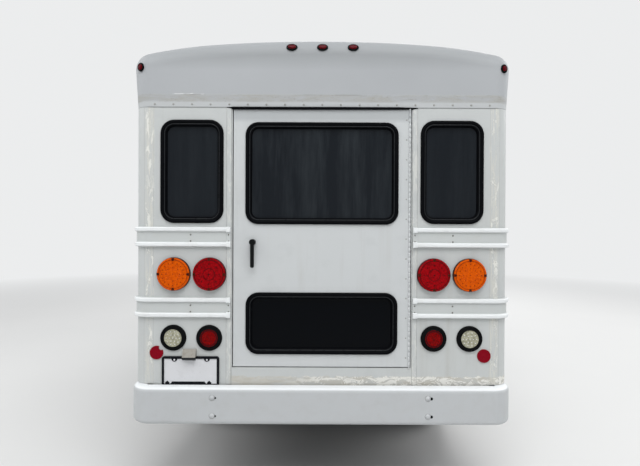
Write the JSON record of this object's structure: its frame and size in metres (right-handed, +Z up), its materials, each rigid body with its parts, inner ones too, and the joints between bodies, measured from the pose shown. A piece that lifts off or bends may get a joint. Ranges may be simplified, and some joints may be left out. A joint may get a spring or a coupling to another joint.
{
  "type": "short school bus",
  "caption": "Short, narrow passenger bus on a cutaway van chassis, with a rear emergency door, twin-leaf entrance door, steered front wheels and a furnished cabin.",
  "frame": {"origin": "on the ground, midway between the bumpers' outer faces, midway between the two mirrors' outer edges", "axes": "+Y forwards, +X towards the vehicle's right-hand side, where the entrance is, +Z up"},
  "size_m": [2.5, 5.6599, 2.564],
  "materials": {
    "wall_paint": "satin",
    "roof_gel": "satin",
    "cab_paint": "gloss",
    "bumper_paint": "satin",
    "chassis_black": "matte",
    "floor_rubber": "matte",
    "window_rubber": "satin",
    "glass": "polished",
    "frame_metal": "satin",
    "seat_vinyl": "satin",
    "black_plastic": "matte",
    "red_lens": "gloss",
    "amber_lens": "gloss",
    "clear_lens": "gloss",
    "tyre": "matte",
    "wheel_steel": "satin",
    "engine_iron": "rough",
    "exhaust_steel": "rough"
  },
  "bodies": {
    "body": {"chassis_frame": "chassis_black", "front_axle": "chassis_black", "rear_axle": "chassis_black", "leaf_springs": "chassis_black", "drive_shaft": "chassis_black", "engine_block": "engine_iron", "exhaust_system": "exhaust_steel", "fuel_tank": "chassis_black", "floor_deck": "floor_rubber", "entrance_steps": "floor_rubber", "side_wall_left": "wall_paint", "side_wall_right": "wall_paint", "rear_wall": "wall_paint", "roof_shell": "roof_gel", "front_cap": "roof_gel", "rub_rails": "wall_paint", "rear_bumper": "bumper_paint", "front_bumper": "bumper_paint", "cab_shell": "cab_paint", "windshield": "glass", "grille": "black_plastic", "side_window_frames": "frame_metal", "side_window_glass": "glass", "rear_window_rubber": "window_rubber", "rear_window_glass": "glass", "lamp_housings": "black_plastic", "lamps_red": "red_lens", "lamps_amber": "amber_lens", "lamps_clear": "clear_lens", "plate_frame": "black_plastic", "mirror_right": "black_plastic", "bench_cushions": "seat_vinyl", "bench_legs": "chassis_black", "driver_seat": "seat_vinyl", "dashboard": "black_plastic"},
    "rear_door": {"rear_door_panel": "wall_paint", "rear_door_rubber": "window_rubber", "rear_door_glass": "glass", "rear_door_handle": "black_plastic"},
    "driver_door": {"driver_door_panel": "cab_paint", "driver_door_glass": "glass", "mirror_left": "black_plastic"},
    "entrance_front": {"entrance_leaf_front": "frame_metal", "entrance_glass_front": "glass"},
    "entrance_rear": {"entrance_leaf_rear": "frame_metal", "entrance_glass_rear": "glass"},
    "hood": {"hood": "cab_paint"},
    "steering_wheel": {"steering_wheel": "black_plastic"},
    "knuckle_left": {"knuckle_left": "chassis_black"},
    "knuckle_right": {"knuckle_right": "chassis_black"},
    "wheel_front_left": {"tyre_front_left": "tyre", "rim_front_left": "wheel_steel"},
    "wheel_front_right": {"tyre_front_right": "tyre", "rim_front_right": "wheel_steel"},
    "wheel_rear_left": {"tyre_rear_left": "tyre", "rim_rear_left": "wheel_steel"},
    "wheel_rear_right": {"tyre_rear_right": "tyre", "rim_rear_right": "wheel_steel"}
  },
  "joints": [
    {"name": "rear_door_hinge", "type": "hinge", "parent": "body", "child": "rear_door", "pos_m": [0.486, -2.753, 1.453], "axis": [0, 0, 1], "range_deg": [0, 100]},
    {"name": "driver_door_hinge", "type": "hinge", "parent": "body", "child": "driver_door", "pos_m": [-1.008, 1.5625, 1.1], "axis": [0, 0, -1], "range_deg": [0, 65]},
    {"name": "entrance_front_hinge", "type": "hinge", "parent": "body", "child": "entrance_front", "pos_m": [1.038, 1.364, 1.21], "axis": [0, 0, 1], "range_deg": [0, 85]},
    {"name": "entrance_rear_hinge", "type": "hinge", "parent": "body", "child": "entrance_rear", "pos_m": [1.038, 0.626, 1.21], "axis": [0, 0, -1], "range_deg": [0, 85]},
    {"name": "hood_hinge", "type": "hinge", "parent": "body", "child": "hood", "pos_m": [0, 2.0025, 1.271], "axis": [1, 0, 0], "range_deg": [0, 50]},
    {"name": "steering_wheel_turn", "type": "hinge", "parent": "body", "child": "steering_wheel", "pos_m": [-0.46, 1.33, 1.24], "axis": [0, -0.866, 0.5], "range_deg": [-528, 528]},
    {"name": "steer_left", "type": "hinge", "parent": "body", "child": "knuckle_left", "pos_m": [-0.75, 2.07, 0.387], "axis": [0, 0, 1], "range_deg": [-35, 35]},
    {"name": "steer_right", "type": "hinge", "parent": "body", "child": "knuckle_right", "pos_m": [0.75, 2.07, 0.387], "axis": [0, 0, 1], "range_deg": [-35, 35]},
    {"name": "spin_front_left", "type": "hinge", "parent": "knuckle_left", "child": "wheel_front_left", "pos_m": [-0.85, 2.07, 0.387], "axis": [1, 0, 0], "continuous": true},
    {"name": "spin_front_right", "type": "hinge", "parent": "knuckle_right", "child": "wheel_front_right", "pos_m": [0.85, 2.07, 0.387], "axis": [1, 0, 0], "continuous": true},
    {"name": "spin_rear_left", "type": "hinge", "parent": "body", "child": "wheel_rear_left", "pos_m": [-0.85, -1.435, 0.387], "axis": [1, 0, 0], "continuous": true},
    {"name": "spin_rear_right", "type": "hinge", "parent": "body", "child": "wheel_rear_right", "pos_m": [0.85, -1.435, 0.387], "axis": [1, 0, 0], "continuous": true}
  ],
  "couplings": [
    {"joint": "steer_right", "follows": "steer_left", "ratio": 1},
    {"joint": "steering_wheel_turn", "follows": "steer_left", "ratio": 15},
    {"joint": "entrance_rear_hinge", "follows": "entrance_front_hinge", "ratio": 1}
  ]
}
